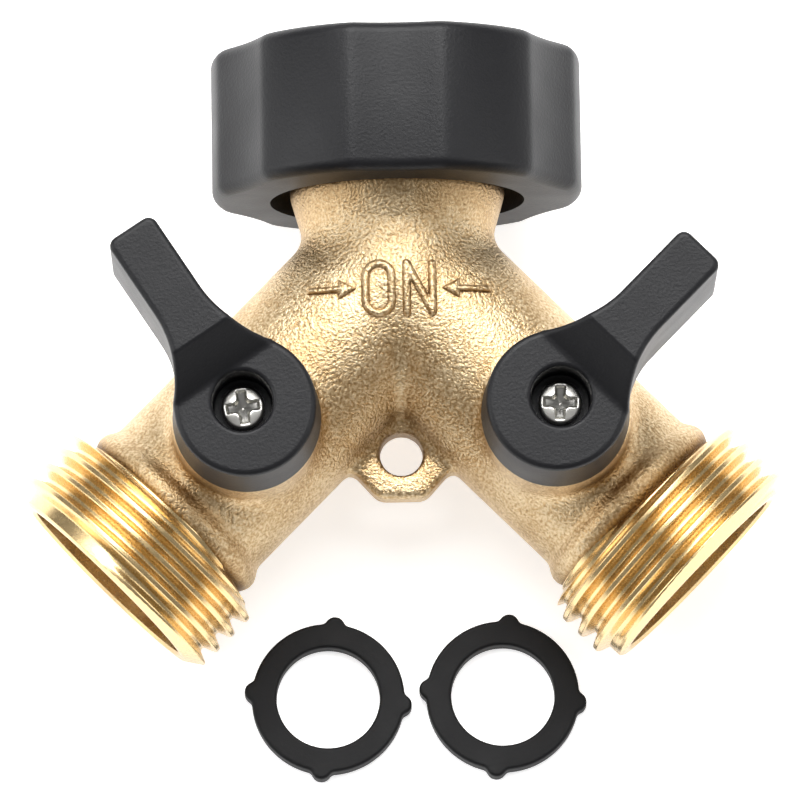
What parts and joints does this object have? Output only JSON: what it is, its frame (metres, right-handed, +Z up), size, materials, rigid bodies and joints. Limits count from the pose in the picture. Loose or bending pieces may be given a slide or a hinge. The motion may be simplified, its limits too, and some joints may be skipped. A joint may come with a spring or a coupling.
{
  "type": "hose splitter",
  "caption": "Y-shaped brass hose splitter with a swivel inlet nut, threaded outlets and quarter-turn ball valves with plastic levers.",
  "frame": {"origin": "centre of the lying splitter with its spare washers, on the surface that it lies on", "axes": "+X across the outlets, +Y towards the inlet nut, +Z up out of the table, on the lever side"},
  "size_m": [0.0806, 0.0772, 0.0485],
  "materials": {
    "cast_brass": "sand-cast, satin",
    "turned_brass": "turned, bright",
    "black_nylon": "moulded, fine texture",
    "white_ptfe": "turned",
    "chromed_brass": "polished plating",
    "zinc_steel": "bright zinc",
    "black_rubber": "moulded, matt"
  },
  "bodies": {
    "splitter_body": {"brass_body": "cast_brass", "inlet_tail": "turned_brass", "left_inner_seat": "white_ptfe", "left_outer_seat": "white_ptfe", "left_seat_retainer": "turned_brass", "left_thrust_washer": "white_ptfe", "right_inner_seat": "white_ptfe", "right_outer_seat": "white_ptfe", "right_seat_retainer": "turned_brass", "right_thrust_washer": "white_ptfe"},
    "swivel_nut": {"swivel_nut_grip": "black_nylon", "swivel_nut_insert": "turned_brass", "inlet_washer": "black_rubber"},
    "left_valve": {"left_lever": "black_nylon", "left_lever_screw": "zinc_steel", "left_valve_stem": "turned_brass", "left_stem_o_rings": "black_rubber", "left_valve_ball": "chromed_brass"},
    "left_spare": {"spare_washer_left": "black_rubber"},
    "right_valve": {"right_lever": "black_nylon", "right_lever_screw": "zinc_steel", "right_valve_stem": "turned_brass", "right_stem_o_rings": "black_rubber", "right_valve_ball": "chromed_brass"},
    "right_spare": {"spare_washer_right": "black_rubber"}
  },
  "joints": [
    {"name": "nut_swivel", "type": "hinge", "parent": "splitter_body", "child": "swivel_nut", "pos_m": [0, 0.02825, 0.0198], "axis": [0, 0.9909, 0.1348], "continuous": true},
    {"name": "left_lever_turn", "type": "hinge", "parent": "splitter_body", "child": "left_valve", "pos_m": [-0.01626, -0.00471, 0.01532], "axis": [0, -0.1348, 0.9909], "range_deg": [-78, 12]},
    {"name": "right_lever_turn", "type": "hinge", "parent": "splitter_body", "child": "right_valve", "pos_m": [0.01626, -0.00471, 0.01532], "axis": [0, -0.1348, 0.9909], "range_deg": [0, 90]},
    {"name": "left_spare_lift", "type": "slide", "parent": "splitter_body", "child": "left_spare", "axis": [0, 0, 1], "range_m": [0, 0.03]},
    {"name": "right_spare_lift", "type": "slide", "parent": "splitter_body", "child": "right_spare", "axis": [0, 0, 1], "range_m": [0, 0.03]}
  ]
}
